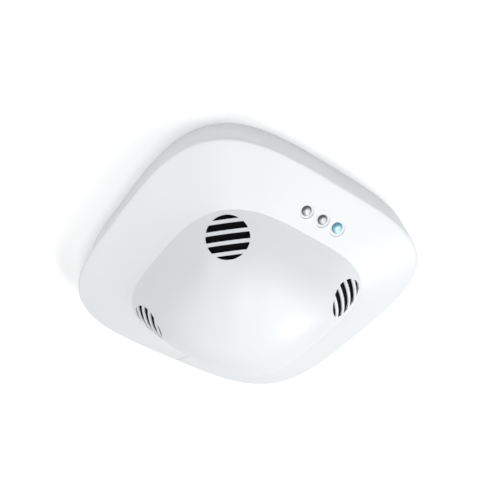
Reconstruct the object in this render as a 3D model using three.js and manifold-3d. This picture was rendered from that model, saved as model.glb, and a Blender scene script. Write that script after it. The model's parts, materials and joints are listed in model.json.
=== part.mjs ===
// Ceiling smoke detector: a rounded-square casing with a soft dome, four round slatted smoke
// inlets on the dome's corners and a row of three small windows in the flange.
//
// Millimetres, +Z up. The detector hangs below a ceiling: z = 0 is the ceiling, the dome points
// down (-Z) and the origin is the middle of the base plate's ceiling face. The row of windows is
// on the -Y side. Three sub-assemblies pull apart straight down: base, sensor module and cover.

import * as THREE from 'three';
import { mergeVertices } from 'three/addons/utils/BufferGeometryUtils.js';
import Module from 'manifold-3d';

const wasm = await Module();
wasm.setup();

// ---------------------------------------------------------------- driving dimensions

const GAP = 0.3;                      // air between neighbouring pieces

// Casing, as half-widths of its rounded-square sections and heights below the ceiling.
const EDGE_HALF = 60;                 // widest section, the flange's lower edge
const RIM_HALF = 57.9;                // upper rim, beside the ceiling
const CREASE_HALF = 40.5;             // where the flange meets the dome
const RIM_Z = -0.8;
const EDGE_Z = -14.6;
const CREASE_Z = -24;
const DOME_SIDE_ANGLE = THREE.MathUtils.degToRad(52);
const APEX_Z = -50;                   // the dome's lowest point
const WALL = 2;                       // casing wall thickness
const EDGE_ROUND = 0.5;               // rounding of the flange's lower edge

// Squareness of the sections: 2 is a circle, and larger is squarer.
const EDGE_SQUARENESS = 3.67;
const CREASE_SQUARENESS = 3.25;
const APEX_SQUARENESS = 2.25;

const AROUND = 56;                    // steps around the casing
const CAP_STEPS = 6;                  // steps from the dome's straight side to its apex

// Smoke inlets: a round field of straight slots on each diagonal of the dome.
const INLET_HALF = 34.9;              // the section that an inlet's middle lies on
const INLET_RADIUS = 8.15;
const INLET_SLOTS = 5;
const INLET_PITCH = 3.87;
const INLET_SLOT_HEIGHT = 2.5;
const INLET_WALL = 1;                 // the wall is thinned to this behind the slots
const POCKET_RADIUS = 9.4;            // of the thinned field
const SCREEN_THICKNESS = 0.6;

// Windows in the flange.
const WINDOW_Y = -47.2;
const WINDOW_X = [-6.1, 1.4, 8.4];
const LENS_RADIUS = 1.9;
const BUTTON_RADIUS = 2.1;
const SEAT_WIDTH = [0.75, 0.75, 0.9]; // a shallow recess around each window
const SEAT_DEPTH = 0.4;
const GUIDE_PROUD = 0.1;              // how far lens and button stand out of the flange
const BUTTON_PROUD = 0.2;

// Cover details.
const PRY_NOTCH = { y: 2, length: 12, height: 1 };
const SEAM = { x: 3, width: 0.4, depth: 0.4 };

// Base plate.
const BASE_HALF = 55.4;
const BASE_LIP_WALL = 1.5;
const BASE_THICKNESS = 2.2;
const BASE_LIP_Z = -7;
const BASE_SQUARENESS = 3.6;
const BASE_FACE = -BASE_THICKNESS - GAP;     // upper face of everything that sits under the base
const CABLE_ENTRY = { x: -26, y: 20, radius: 9 };
const GROMMET = { bore: 4.5, neck: 8.7, flange: 11, flangeHeight: 1.7, top: -0.4 };
const SCREW_SLOT = { length: 12, width: 5 };
const SCREW_SLOTS = [
  { x: -30, y: -8, alongX: false },
  { x: 30, y: -8, alongX: false },
  { x: 0, y: -34, alongX: true },
  { x: 14, y: 15, alongX: true },
];

// Strain relief: a bar with a groove for the cable, held by two screws.
const CLAMP = { x: -27, y: 40, halfLength: 9, halfWidth: 2.6, height: 2.9, groove: 2.1 };
const CLAMP_SCREW = {
  reach: 6, head: 2.3, headHeight: 1.4, headBottom: -7.1, shank: 1.2, tip: -1.2, hole: -0.8,
};

// Terminal block with four spring terminals, each with a release key and a wire hole.
const TERMINAL = { x0: -17, x1: 17, y0: 33, y1: 45, z0: -14.5, z1: BASE_FACE };
const TERMINAL_PITCH = 7.6;
const RELEASE = { width: 4.4, depth: 2.9, top: -12.6, bottom: -16.2, y: 36.2, pocketTop: -10.5 };
const RELEASE_SLIT = { share: 0.7, width: 0.8, depth: 0.5 };
const WIRE_HOLE = { y: 41.8, radius: 1.6, top: -8 };

// Plug connection between base and module: a socket on the base, pins on the module.
const PLUG = { halfWidth: 7.5, y0: 24.5, y1: 29.5, pinPitch: 3.5, pin: 1.2, clear: 0.4 };
const SOCKET = { bottom: -6.8, holeTop: -3 };
const PLUG_BODY_TOP = -7.2;
const PIN = { bottom: -7.6, top: -3.4 };

// Leaf springs on the base.
const SPRING = { thickness: 0.5, width: 9, bottom: -12.6, foot: 8.5, footHeight: 0.6 };
const SPRING_DIMPLE = { depth: 0.4, width: 4, bottom: -11.4, top: -9.6 };

// Sensor module.
const HOUSING_HALF = 52.6;
const HOUSING_WALL = 1.6;
const HOUSING_TOP = -8.2;
const HOUSING_FLOOR = -9.8;
const HOUSING_LIP = -13;
const HOUSING_TAB = { reach: 55.4, offset: 24, halfWidth: 4, setDown: 1 };
const TERMINAL_CLEAR = 1.2;           // air that housing and board leave around the terminal block
const BOARD_HALF = 50.4;
const BOARD_TOP = -10.6;
const BOARD_BOTTOM = -12.2;
const PARTS_Z = BOARD_BOTTOM - GAP;   // upper face of everything that hangs from the board
const BOARD_SCREW = {
  spot: 37.5, head: 2.7, headHeight: 1.8, shank: 1.35, hole: 1.7, boss: 3.4, tip: -8.7,
};

// Smoke chamber.
const CHAMBER_RADIUS = 22.2;
const CHAMBER_FLOOR = PARTS_Z - 2;
const CHAMBER_LID = -28.6;
const CHAMBER_BOTTOM = -30.6;
const OPTICS_Z = -21;
const OPTICS_RADIUS = 15.4;
const OPTICS_TUNNEL = 2.9;
const OPTICS_BLOCK = { length: 7.4, width: 8.4, below: 4.5 };
const EMITTER_ANGLE = THREE.MathUtils.degToRad(165);
const DIODE_ANGLE = THREE.MathUtils.degToRad(300);
const VANES = 18;
const VANE_SPAN = 0.93;               // vanes nearer an optics block than this cosine are left out
const LABYRINTH_RING = { inner: 12.6, outer: 20.4, height: 1.1 };
const CHAMBER_MESH = { inner: 20.9, outer: 21.3 };
const LID_SKIRT = { inner: 21.6, height: 2.2, chamfer: 2.2, chamferHeight: 1.2 };
const DIODE_SHIELD = { radius: 27.6, depth: 5, width: 10, height: 7 };

// Sounder and backup cell.
const SOUNDER = { x: -26, y: 24, radius: 10.6, height: 8, wall: 1.1, floor: 1.2, port: 2 };
const SOUNDER_DISC = { up: 2.4, thickness: 0.4 };
const SOUNDER_COIL = { inner: 3, outer: 5.6, up: 3.2 };
const CELL = { x: 30, y: -2, radius: 7.1, length: 25, shoulder: 0.8, nub: 2.6 };
const HOLDER = { left: 6, right: 5.6, wallRight: 5.2, floor: 1, wall: 1.2, wallHeight: 9, slack: 1.3 };
const CELL_CONTACT = { halfWidth: 3.4, thickness: 0.5, bottom: -22.1 };

// Indicator lamps and the test switch, above the windows.
const LAMP = { radius: 1.5, shoulder: -15.8, tip: -17 };
const SWITCH = { side: 6, bottom: -15.9, bore: 2.1, boreTop: -14.4 };
const PLUNGER = { radius: 1.7, bottom: -16.9, top: -15.2 };

// Cutters that pass right through a piece reach between these heights.
const FAR_BELOW = -60;
const FAR_ABOVE = 5;

// ---------------------------------------------------------------- solids

function solid(geometry) {
  const bare = geometry.clone();
  bare.deleteAttribute('normal');
  bare.deleteAttribute('uv');
  const merged = mergeVertices(bare);
  const corners = merged.index.array;
  const triVerts = [];
  for (let i = 0; i < corners.length; i += 3) {
    const [a, b, c] = corners.subarray(i, i + 3);
    if (a !== b && b !== c && c !== a) triVerts.push(a, b, c);
  }
  return new wasm.Manifold(new wasm.Mesh({
    numProp: 3,
    vertProperties: new Float32Array(merged.attributes.position.array),
    triVerts: new Uint32Array(triVerts),
  }));
}

function geometryOf(manifold) {
  const mesh = manifold.getMesh();
  const geometry = new THREE.BufferGeometry();
  geometry.setAttribute('position', new THREE.BufferAttribute(new Float32Array(mesh.vertProperties), 3));
  geometry.setIndex(Array.from(mesh.triVerts));
  geometry.computeVertexNormals();
  return geometry;
}

function join(...solids) {
  return solids.reduce((whole, next) => whole.add(next));
}

function box(x0, x1, y0, y1, z0, z1) {
  const geometry = new THREE.BoxGeometry(x1 - x0, y1 - y0, z1 - z0);
  geometry.translate((x0 + x1) / 2, (y0 + y1) / 2, (z0 + z1) / 2);
  return solid(geometry);
}

// A box given by its middle and size in plan, and by its heights.
function block(x, y, width, depth, z0, z1) {
  return box(x - width / 2, x + width / 2, y - depth / 2, y + depth / 2, z0, z1);
}

// An upright round bar, or a cone where the two radii differ.
function rod(x, y, radius, z0, z1, sides = 20, upperRadius = radius) {
  const geometry = new THREE.CylinderGeometry(upperRadius, radius, z1 - z0, sides);
  geometry.rotateX(Math.PI / 2);
  geometry.translate(x, y, (z0 + z1) / 2);
  return solid(geometry);
}

// A round bar lying along Y.
function lyingRod(x, z, radius, y0, y1, sides = 20) {
  const geometry = new THREE.CylinderGeometry(radius, radius, y1 - y0, sides);
  geometry.translate(x, (y0 + y1) / 2, z);
  return solid(geometry);
}

// A profile of [radius, z] pairs turned about the upright axis, given anticlockwise.
function turned(profile, sides = 32) {
  const points = profile.map(([radius, z]) => new THREE.Vector2(radius, z));
  const geometry = new THREE.LatheGeometry(points, sides);
  geometry.rotateX(Math.PI / 2);
  return geometry;
}

// A flat ring's profile, closed on itself.
function ringProfile(inner, outer, z0, z1) {
  return [[inner, z0], [outer, z0], [outer, z1], [inner, z1], [inner, z0]];
}

// How far a rounded square of half-width 1 reaches at an angle, against a circle's 1.
function squareReach(angle, squareness) {
  const sum = Math.abs(Math.cos(angle)) ** squareness + Math.abs(Math.sin(angle)) ** squareness;
  return sum ** (-1 / squareness);
}

function squircleShape(half, squareness = BASE_SQUARENESS, steps = AROUND) {
  const points = [];
  for (let i = 0; i < steps; i += 1) {
    const angle = (2 * Math.PI * i) / steps;
    const reach = half * squareReach(angle, squareness);
    points.push(new THREE.Vector2(reach * Math.cos(angle), reach * Math.sin(angle)));
  }
  return new THREE.Shape(points);
}

// A flat outline raised from z0 to z1.
function slab(shape, z0, z1, curveSegments = 8) {
  const depth = z1 - z0;
  const geometry = new THREE.ExtrudeGeometry(shape, { depth, bevelEnabled: false, curveSegments });
  geometry.translate(0, 0, z0);
  return solid(geometry);
}

function squircleSlab(half, z0, z1, steps = AROUND) {
  return slab(squircleShape(half, BASE_SQUARENESS, steps), z0, z1);
}

// An upright slot with round ends.
function slotBar(x, y, length, width, alongX, z0, z1) {
  const reach = (length - width) / 2;
  const dx = alongX ? reach : 0;
  const dy = alongX ? 0 : reach;
  const middle = block(x, y, alongX ? 2 * reach : width, alongX ? width : 2 * reach, z0, z1);
  const ends = [-1, 1].map((sign) => rod(x + sign * dx, y + sign * dy, width / 2, z0, z1, 16));
  return join(middle, ...ends);
}

// A pan-head screw hanging head down, with a cross recess.
function screw(x, y, headBottom, headRadius, headHeight, shankRadius, shankTop) {
  const headTop = headBottom + headHeight;
  const profile = [
    [0, headBottom],
    [headRadius * 0.7, headBottom],
    [headRadius, headBottom + headHeight * 0.5],
    [headRadius, headTop],
    [shankRadius, headTop],
    [shankRadius, shankTop - shankRadius * 0.5],
    [shankRadius * 0.5, shankTop],
    [0, shankTop],
  ];
  const geometry = turned(profile, 16);
  geometry.translate(x, y, 0);
  const armLength = headRadius * 1.1;
  const armWidth = headRadius * 0.28;
  const depth = headBottom + headHeight * 0.55;
  return solid(geometry)
    .subtract(block(x, y, armLength, armWidth, headBottom - 1, depth))
    .subtract(block(x, y, armWidth, armLength, headBottom - 1, depth));
}

// ---------------------------------------------------------------- casing surface

const FLANGE_SLOPE = (EDGE_Z - CREASE_Z) / (EDGE_HALF - CREASE_HALF);
const SIDE_SLOPE = Math.tan(DOME_SIDE_ANGLE);
// The dome's straight side ends at this half-width, where its round cap starts.
const CAP_HALF = (
  (APEX_Z - CREASE_Z + CREASE_HALF * SIDE_SLOPE) / (SIDE_SLOPE - Math.tan(DOME_SIDE_ANGLE / 2))
);
const CAP_RADIUS = CAP_HALF / Math.sin(DOME_SIDE_ANGLE);
const CAP_CENTRE_Z = APEX_Z + CAP_RADIUS;

function squarenessAt(half) {
  if (half >= CREASE_HALF) {
    const t = (half - CREASE_HALF) / (EDGE_HALF - CREASE_HALF);
    return THREE.MathUtils.lerp(CREASE_SQUARENESS, EDGE_SQUARENESS, t);
  }
  return THREE.MathUtils.lerp(APEX_SQUARENESS, CREASE_SQUARENESS, half / CREASE_HALF);
}

// The cap's arc, from the apex outwards, on a sphere section of the given radius.
function capArc(radius) {
  const arc = [];
  for (let i = 0; i <= CAP_STEPS; i += 1) {
    const angle = (DOME_SIDE_ANGLE * i) / CAP_STEPS;
    arc.push([radius * Math.sin(angle), CAP_CENTRE_Z - radius * Math.cos(angle)]);
  }
  return arc;
}

// The casing's outer section, from the apex to the rim.
function outsideProfile() {
  return [
    ...capArc(CAP_RADIUS),
    [CREASE_HALF, CREASE_Z],
    [EDGE_HALF - EDGE_ROUND, EDGE_Z - EDGE_ROUND * FLANGE_SLOPE],
    [EDGE_HALF, EDGE_Z + EDGE_ROUND],
    [RIM_HALF, RIM_Z],
  ];
}

// A section that runs parallel to the outer one, a wall thickness inwards, from the apex to the rim.
function insideProfile(wall) {
  const wallLean = (EDGE_HALF - RIM_HALF) / (RIM_Z - EDGE_Z);
  const flangeLift = wall * Math.hypot(1, FLANGE_SLOPE);
  const sideShift = wall / Math.sin(DOME_SIDE_ANGLE);
  const creaseHalf = (
    (CREASE_HALF - sideShift) * SIDE_SLOPE - CREASE_HALF * FLANGE_SLOPE + flangeLift
  ) / (SIDE_SLOPE - FLANGE_SLOPE);
  const rimHalf = RIM_HALF - wall;
  const edgeHalf = (
    rimHalf + wallLean * (RIM_Z - EDGE_Z - flangeLift + EDGE_HALF * FLANGE_SLOPE)
  ) / (1 + wallLean * FLANGE_SLOPE);
  const flangeInside = (half) => EDGE_Z + flangeLift - (EDGE_HALF - half) * FLANGE_SLOPE;
  return [
    ...capArc(CAP_RADIUS - wall),
    [creaseHalf, flangeInside(creaseHalf)],
    [edgeHalf, flangeInside(edgeHalf)],
    [rimHalf, RIM_Z],
  ];
}

// Turns a profile and presses each of its round sections into a rounded square.
function squaredSolid(profile) {
  const geometry = turned(profile, AROUND);
  const position = geometry.attributes.position;
  for (let i = 0; i < position.count; i += 1) {
    const x = position.getX(i);
    const y = position.getY(i);
    const half = Math.hypot(x, y);
    const reach = squareReach(Math.atan2(y, x), squarenessAt(half));
    position.setXY(i, x * reach, y * reach);
  }
  return solid(geometry);
}

function casingSolid() {
  return squaredSolid([...outsideProfile(), ...insideProfile(WALL).reverse()]);
}

// Everything inside the casing that is at least a given depth under its outer face.
function casingInside(depth) {
  return squaredSolid([...insideProfile(depth), [0, RIM_Z]]);
}

// Height of the flange's outer face straight above or below a point of the -Y side's middle.
function flangeZ(y) {
  return EDGE_Z - (EDGE_HALF - Math.abs(y)) * FLANGE_SLOPE;
}

// An upright bar, round when seen square to the flange. Its ends' heights are functions of Y.
function windowBar(x, radius, lowerEnd, upperEnd, sides = 16) {
  const bar = new THREE.CylinderGeometry(radius, radius, 1, sides);
  bar.rotateX(Math.PI / 2);
  bar.scale(1, 1 / Math.hypot(1, FLANGE_SLOPE), 1);
  bar.translate(x, WINDOW_Y, 0);
  const position = bar.attributes.position;
  for (let i = 0; i < position.count; i += 1) {
    const end = position.getZ(i) < 0 ? lowerEnd : upperEnd;
    position.setZ(i, end(position.getY(i)));
  }
  return solid(bar);
}

// An end that runs parallel to the flange's outer face, below it by the given amount.
function belowFlange(amount) {
  return (y) => flangeZ(y) - amount;
}

// ---------------------------------------------------------------- smoke inlets

// A point of the dome's straight side on its diagonal, as distance from the axis and height.
function diagonalPoint(half) {
  const distance = half * squareReach(Math.PI / 4, squarenessAt(half));
  return new THREE.Vector2(distance, CREASE_Z - (CREASE_HALF - half) * SIDE_SLOPE);
}

const INLET_MIDDLE = diagonalPoint(INLET_HALF);
const INLET_TILT = diagonalPoint(INLET_HALF + 2).sub(diagonalPoint(INLET_HALF - 2)).angle();

// The inlet's own frame on diagonal number `corner`: X along the slots, Y up the dome's side,
// Z out of the dome.
function inletMatrix(corner) {
  const heading = Math.PI / 4 + (corner * Math.PI) / 2;
  const outward = new THREE.Vector3(Math.cos(heading), Math.sin(heading), 0);
  const up = new THREE.Vector3(0, 0, 1);
  const rise = Math.sin(INLET_TILT);
  const run = Math.cos(INLET_TILT);
  const normal = outward.clone().multiplyScalar(rise).addScaledVector(up, -run);
  const slope = outward.clone().multiplyScalar(run).addScaledVector(up, rise);
  const along = new THREE.Vector3().crossVectors(slope, normal);
  const middle = outward.clone().multiplyScalar(INLET_MIDDLE.x).setZ(INLET_MIDDLE.y);
  return new THREE.Matrix4().makeBasis(along, slope, normal).setPosition(middle);
}

// One slot's outline: a straight strip whose ends follow the inlet's round edge.
function inletSlotShape(offset) {
  const clamp = (y) => THREE.MathUtils.clamp(y, -INLET_RADIUS, INLET_RADIUS);
  const low = clamp(offset - INLET_SLOT_HEIGHT / 2);
  const high = clamp(offset + INLET_SLOT_HEIGHT / 2);
  const start = Math.asin(low / INLET_RADIUS);
  const end = Math.asin(high / INLET_RADIUS);
  const shape = new THREE.Shape();
  shape.absarc(0, 0, INLET_RADIUS, start, end, false);
  shape.absarc(0, 0, INLET_RADIUS, Math.PI - end, Math.PI - start, false);
  return shape;
}

function inletCutters(corner) {
  const cutters = [];
  const inwards = 5;
  const depth = 9;
  for (let i = 0; i < INLET_SLOTS; i += 1) {
    const shape = inletSlotShape((i - (INLET_SLOTS - 1) / 2) * INLET_PITCH);
    const geometry = new THREE.ExtrudeGeometry(shape, { depth, bevelEnabled: false, curveSegments: 2 });
    geometry.translate(0, 0, -inwards);
    geometry.applyMatrix4(inletMatrix(corner));
    cutters.push(solid(geometry));
  }
  return cutters;
}

// A round bar that crosses the wall square to the inlet.
function inletBar(corner, radius) {
  const reach = 8;
  const geometry = new THREE.CylinderGeometry(radius, radius, 2 * reach, 28);
  geometry.rotateX(Math.PI / 2);
  geometry.applyMatrix4(inletMatrix(corner));
  return solid(geometry);
}

// The pocket behind an inlet, which thins the wall to INLET_WALL.
function inletPocket(corner) {
  return inletBar(corner, POCKET_RADIUS).intersect(casingInside(INLET_WALL));
}

// The insect screen in the pocket follows the wall, a gap behind the slots.
function screenSolid(corner) {
  const front = INLET_WALL + GAP;
  const sheet = casingInside(front).subtract(casingInside(front + SCREEN_THICKNESS));
  return inletBar(corner, POCKET_RADIUS - GAP).intersect(sheet);
}

// ---------------------------------------------------------------- colours

const WHITE = 0xf2f4f6;
const INNER_WHITE = 0xe6e7e6;
const BLACK = 0x17181a;
const DARK_GREY = 0x3a3c3f;
const STEEL = 0xb9bcc0;
const BRASS = 0xc6a15b;
const COPPER = 0xb3693c;
const TERMINAL_GREY = 0xd9dad6;
const ORANGE = 0xe0701f;
const BOARD_GREEN = 0x1f6b43;
const CELL_BLUE = 0x3c6fb0;
const LAMP_CLEAR = 0xdfe6ea;

const detector = new THREE.Group();

function addPart(name, shape, color, roughness, metalness = 0) {
  const material = new THREE.MeshStandardMaterial({ color, roughness, metalness });
  const mesh = new THREE.Mesh(geometryOf(shape), material);
  mesh.name = name;
  detector.add(mesh);
}

// ---------------------------------------------------------------- base

function clampScrewSpots() {
  return [-1, 1].map((sign) => CLAMP.x + sign * CLAMP_SCREW.reach);
}

function clampScrewHoles(top) {
  return join(...clampScrewSpots().map((x) => rod(x, CLAMP.y, CLAMP_SCREW.shank + GAP, FAR_BELOW, top, 12)));
}

function addBase() {
  const lipHalf = BASE_HALF - BASE_LIP_WALL;
  let plate = squircleSlab(BASE_HALF, BASE_LIP_Z, 0)
    .subtract(squircleSlab(lipHalf, BASE_LIP_Z - 1, -BASE_THICKNESS))
    .subtract(rod(CABLE_ENTRY.x, CABLE_ENTRY.y, CABLE_ENTRY.radius, FAR_BELOW, FAR_ABOVE, 32))
    .subtract(clampScrewHoles(CLAMP_SCREW.hole));
  for (const { x, y, alongX } of SCREW_SLOTS) {
    const slot = slotBar(x, y, SCREW_SLOT.length, SCREW_SLOT.width, alongX, FAR_BELOW, FAR_ABOVE);
    plate = plate.subtract(slot);
  }
  addPart('base_plate', plate, INNER_WHITE, 0.55);

  const { bore, neck, flange, flangeHeight, top } = GROMMET;
  const flangeBottom = BASE_FACE - flangeHeight;
  const grommet = turned([
    [bore, flangeBottom], [flange, flangeBottom], [flange, BASE_FACE], [neck, BASE_FACE],
    [neck, top], [bore, top], [bore, flangeBottom],
  ], 28);
  grommet.translate(CABLE_ENTRY.x, CABLE_ENTRY.y, 0);
  addPart('cable_grommet', solid(grommet), BLACK, 0.85);
}

function addStrainRelief() {
  const { x, y, halfLength, halfWidth, height, groove } = CLAMP;
  const clamp = block(x, y, 2 * halfLength, 2 * halfWidth, BASE_FACE - height, BASE_FACE)
    .subtract(lyingRod(x, BASE_FACE, groove, y - halfWidth - 1, y + halfWidth + 1, 16))
    .subtract(clampScrewHoles(FAR_ABOVE));
  addPart('strain_relief_clamp', clamp, DARK_GREY, 0.6);
  const { head, headHeight, headBottom, shank, tip } = CLAMP_SCREW;
  clampScrewSpots().forEach((spot, i) => {
    const fastener = screw(spot, y, headBottom, head, headHeight, shank, tip);
    addPart(`strain_relief_screw_${i + 1}`, fastener, STEEL, 0.35, 0.9);
  });
}

// Four evenly spaced places along X, in the middle of the part.
function fourColumns(pitch) {
  return [-1.5, -0.5, 0.5, 1.5].map((step) => step * pitch);
}

function addTerminalBlock() {
  const { x0, x1, y0, y1, z0, z1 } = TERMINAL;
  const { width, depth, top, bottom, y, pocketTop } = RELEASE;
  const columns = fourColumns(TERMINAL_PITCH);
  let body = box(x0, x1, y0, y1, z0, z1);
  for (const x of columns) {
    body = body
      .subtract(block(x, y, width + 2 * GAP, depth + 2 * GAP, FAR_BELOW, pocketTop))
      .subtract(rod(x, WIRE_HOLE.y, WIRE_HOLE.radius, FAR_BELOW, WIRE_HOLE.top, 14));
  }
  addPart('terminal_block', body, TERMINAL_GREY, 0.5);
  const slitTop = bottom + RELEASE_SLIT.depth;
  columns.forEach((x, i) => {
    const slit = block(x, y, width * RELEASE_SLIT.share, RELEASE_SLIT.width, FAR_BELOW, slitTop);
    const key = block(x, y, width, depth, bottom, top).subtract(slit);
    addPart(`terminal_release_${i + 1}`, key, ORANGE, 0.45);
  });
}

function addContactSocket() {
  const middle = (PLUG.y0 + PLUG.y1) / 2;
  const hole = PLUG.pin + 2 * GAP;
  let socket = box(-PLUG.halfWidth, PLUG.halfWidth, PLUG.y0, PLUG.y1, SOCKET.bottom, BASE_FACE);
  for (const x of fourColumns(PLUG.pinPitch)) {
    socket = socket.subtract(block(x, middle, hole, hole, FAR_BELOW, SOCKET.holeTop));
  }
  addPart('contact_socket', socket, BLACK, 0.5);
}

// Leaf springs on the base that grip the module's sides.
function addGripSprings() {
  const { thickness, width, bottom, foot, footHeight } = SPRING;
  const leafX = HOUSING_HALF + GAP + 0.7 * thickness;
  const footX = leafX - (foot - thickness) / 2;
  const dimple = SPRING_DIMPLE;
  const dimpleX = leafX + 0.7 * thickness;
  ['left', 'right'].forEach((side, i) => {
    const sign = i === 0 ? -1 : 1;
    const spring = join(
      block(sign * leafX, 0, thickness, width, bottom, BASE_FACE),
      block(sign * footX, 0, foot, width, BASE_FACE - footHeight, BASE_FACE),
      block(sign * dimpleX, 0, dimple.depth, dimple.width, dimple.bottom, dimple.top),
    );
    addPart(`grip_spring_${side}`, spring, STEEL, 0.3, 0.9);
  });
}

// ---------------------------------------------------------------- sensor module

// The gap that both the housing and the board leave around the terminal block.
function terminalNotch() {
  const reach = TERMINAL.x1 + TERMINAL_CLEAR;
  return box(-reach, reach, TERMINAL.y0 - TERMINAL_CLEAR, EDGE_HALF, FAR_BELOW, FAR_ABOVE);
}

function boardScrewSpots() {
  const corners = [[1, 1], [-1, 1], [-1, -1], [1, -1]];
  return corners.map(([sx, sy]) => [sx * BOARD_SCREW.spot, sy * BOARD_SCREW.spot]);
}

function boardScrewHoles() {
  return join(...boardScrewSpots().map(([x, y]) => rod(x, y, BOARD_SCREW.hole, FAR_BELOW, FAR_ABOVE, 14)));
}

// Tabs that press on the inside of the cover, two on each side.
function housingTabs() {
  const { reach, offset, halfWidth, setDown } = HOUSING_TAB;
  const tabs = [];
  for (const middle of [-offset, offset]) {
    const low = middle - halfWidth;
    const high = middle + halfWidth;
    tabs.push(box(-EDGE_HALF, EDGE_HALF, low, high, HOUSING_LIP, HOUSING_TOP - setDown));
    tabs.push(box(low, high, -EDGE_HALF, EDGE_HALF, HOUSING_LIP, HOUSING_TOP - setDown));
  }
  return join(...tabs)
    .intersect(squircleSlab(reach, FAR_BELOW, FAR_ABOVE))
    .subtract(squircleSlab(HOUSING_HALF - HOUSING_WALL / 2, FAR_BELOW, FAR_ABOVE));
}

function addHousing() {
  const { clear } = PLUG;
  const plugHole = box(
    -PLUG.halfWidth - clear,
    PLUG.halfWidth + clear,
    PLUG.y0 - clear,
    PLUG.y1 + clear,
    FAR_BELOW,
    FAR_ABOVE,
  );
  const overlap = HOUSING_WALL / 8;
  const bosses = boardScrewSpots().map(
    ([x, y]) => rod(x, y, BOARD_SCREW.boss, BOARD_TOP + GAP, HOUSING_FLOOR + overlap, 20),
  );
  const housing = squircleSlab(HOUSING_HALF, HOUSING_LIP, HOUSING_TOP)
    .subtract(squircleSlab(HOUSING_HALF - HOUSING_WALL, FAR_BELOW, HOUSING_FLOOR))
    .add(housingTabs())
    .add(join(...bosses))
    .subtract(boardScrewHoles())
    .subtract(terminalNotch())
    .subtract(plugHole);
  addPart('rear_housing', housing, INNER_WHITE, 0.55);
}

function addBoard() {
  const board = squircleSlab(BOARD_HALF, BOARD_BOTTOM, BOARD_TOP)
    .subtract(terminalNotch())
    .subtract(boardScrewHoles());
  addPart('main_board', board, BOARD_GREEN, 0.45);
  const { head, headHeight, shank, tip } = BOARD_SCREW;
  boardScrewSpots().forEach(([x, y], i) => {
    const fastener = screw(x, y, PARTS_Z - headHeight, head, headHeight, shank, tip);
    addPart(`board_screw_${i + 1}`, fastener, STEEL, 0.35, 0.9);
  });

  const middle = (PLUG.y0 + PLUG.y1) / 2;
  const body = box(-PLUG.halfWidth, PLUG.halfWidth, PLUG.y0, PLUG.y1, BOARD_TOP + GAP, PLUG_BODY_TOP);
  const pins = fourColumns(PLUG.pinPitch).map(
    (x) => block(x, middle, PLUG.pin, PLUG.pin, PIN.bottom, PIN.top),
  );
  addPart('plug_header', join(body, ...pins), BLACK, 0.5);
}

// A point on the chamber's plan, given by angle and distance from the middle.
function polar(angle, radius) {
  return [radius * Math.cos(angle), radius * Math.sin(angle)];
}

// A solid modelled with its own +X pointing at the chamber's middle, set at an angle round it.
function facingMiddle(geometry, angle, radius) {
  const [x, y] = polar(angle, radius);
  geometry.rotateZ(angle + Math.PI);
  geometry.translate(x, y, OPTICS_Z);
  return solid(geometry);
}

function opticsBlock(angle) {
  const { length, width, below } = OPTICS_BLOCK;
  const tunnel = new THREE.CylinderGeometry(OPTICS_TUNNEL, OPTICS_TUNNEL, 2 * length, 20);
  tunnel.rotateZ(Math.PI / 2);
  const overlap = 0.1;
  const above = CHAMBER_FLOOR - OPTICS_Z + overlap;
  const body = new THREE.BoxGeometry(length, width, below + above);
  body.translate(0, 0, (above - below) / 2);
  return facingMiddle(body, angle, OPTICS_RADIUS).subtract(facingMiddle(tunnel, angle, OPTICS_RADIUS));
}

function addChamber() {
  const floor = rod(0, 0, CHAMBER_RADIUS, CHAMBER_FLOOR, PARTS_Z, 40);
  const base = join(floor, opticsBlock(EMITTER_ANGLE), opticsBlock(DIODE_ANGLE));
  addPart('chamber_base', base, BLACK, 0.7);
  addPart('chamber_labyrinth', labyrinthSolid(), BLACK, 0.7);

  const meshBottom = CHAMBER_LID + GAP;
  const meshTop = CHAMBER_FLOOR - GAP;
  const mesh = turned(ringProfile(CHAMBER_MESH.inner, CHAMBER_MESH.outer, meshBottom, meshTop), 40);
  addPart('chamber_screen', solid(mesh), DARK_GREY, 0.5, 0.4);

  const { inner, height, chamfer, chamferHeight } = LID_SKIRT;
  const lid = turned([
    [0, CHAMBER_BOTTOM],
    [CHAMBER_RADIUS - chamfer, CHAMBER_BOTTOM],
    [CHAMBER_RADIUS, CHAMBER_BOTTOM + chamferHeight],
    [CHAMBER_RADIUS, CHAMBER_LID + height],
    [inner, CHAMBER_LID + height],
    [inner, CHAMBER_LID],
    [0, CHAMBER_LID],
  ], 40);
  addPart('chamber_lid', solid(lid), BLACK, 0.7);
}

// One vane, seen from below: a bent blade that light can't pass straight through.
function vaneShape() {
  const outline = [[13, -0.4], [16.6, 1.7], [20.2, -0.4], [20.2, 0.6], [16.6, 2.8], [13, 0.6]];
  return new THREE.Shape(outline.map(([x, y]) => new THREE.Vector2(x, y)));
}

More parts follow.
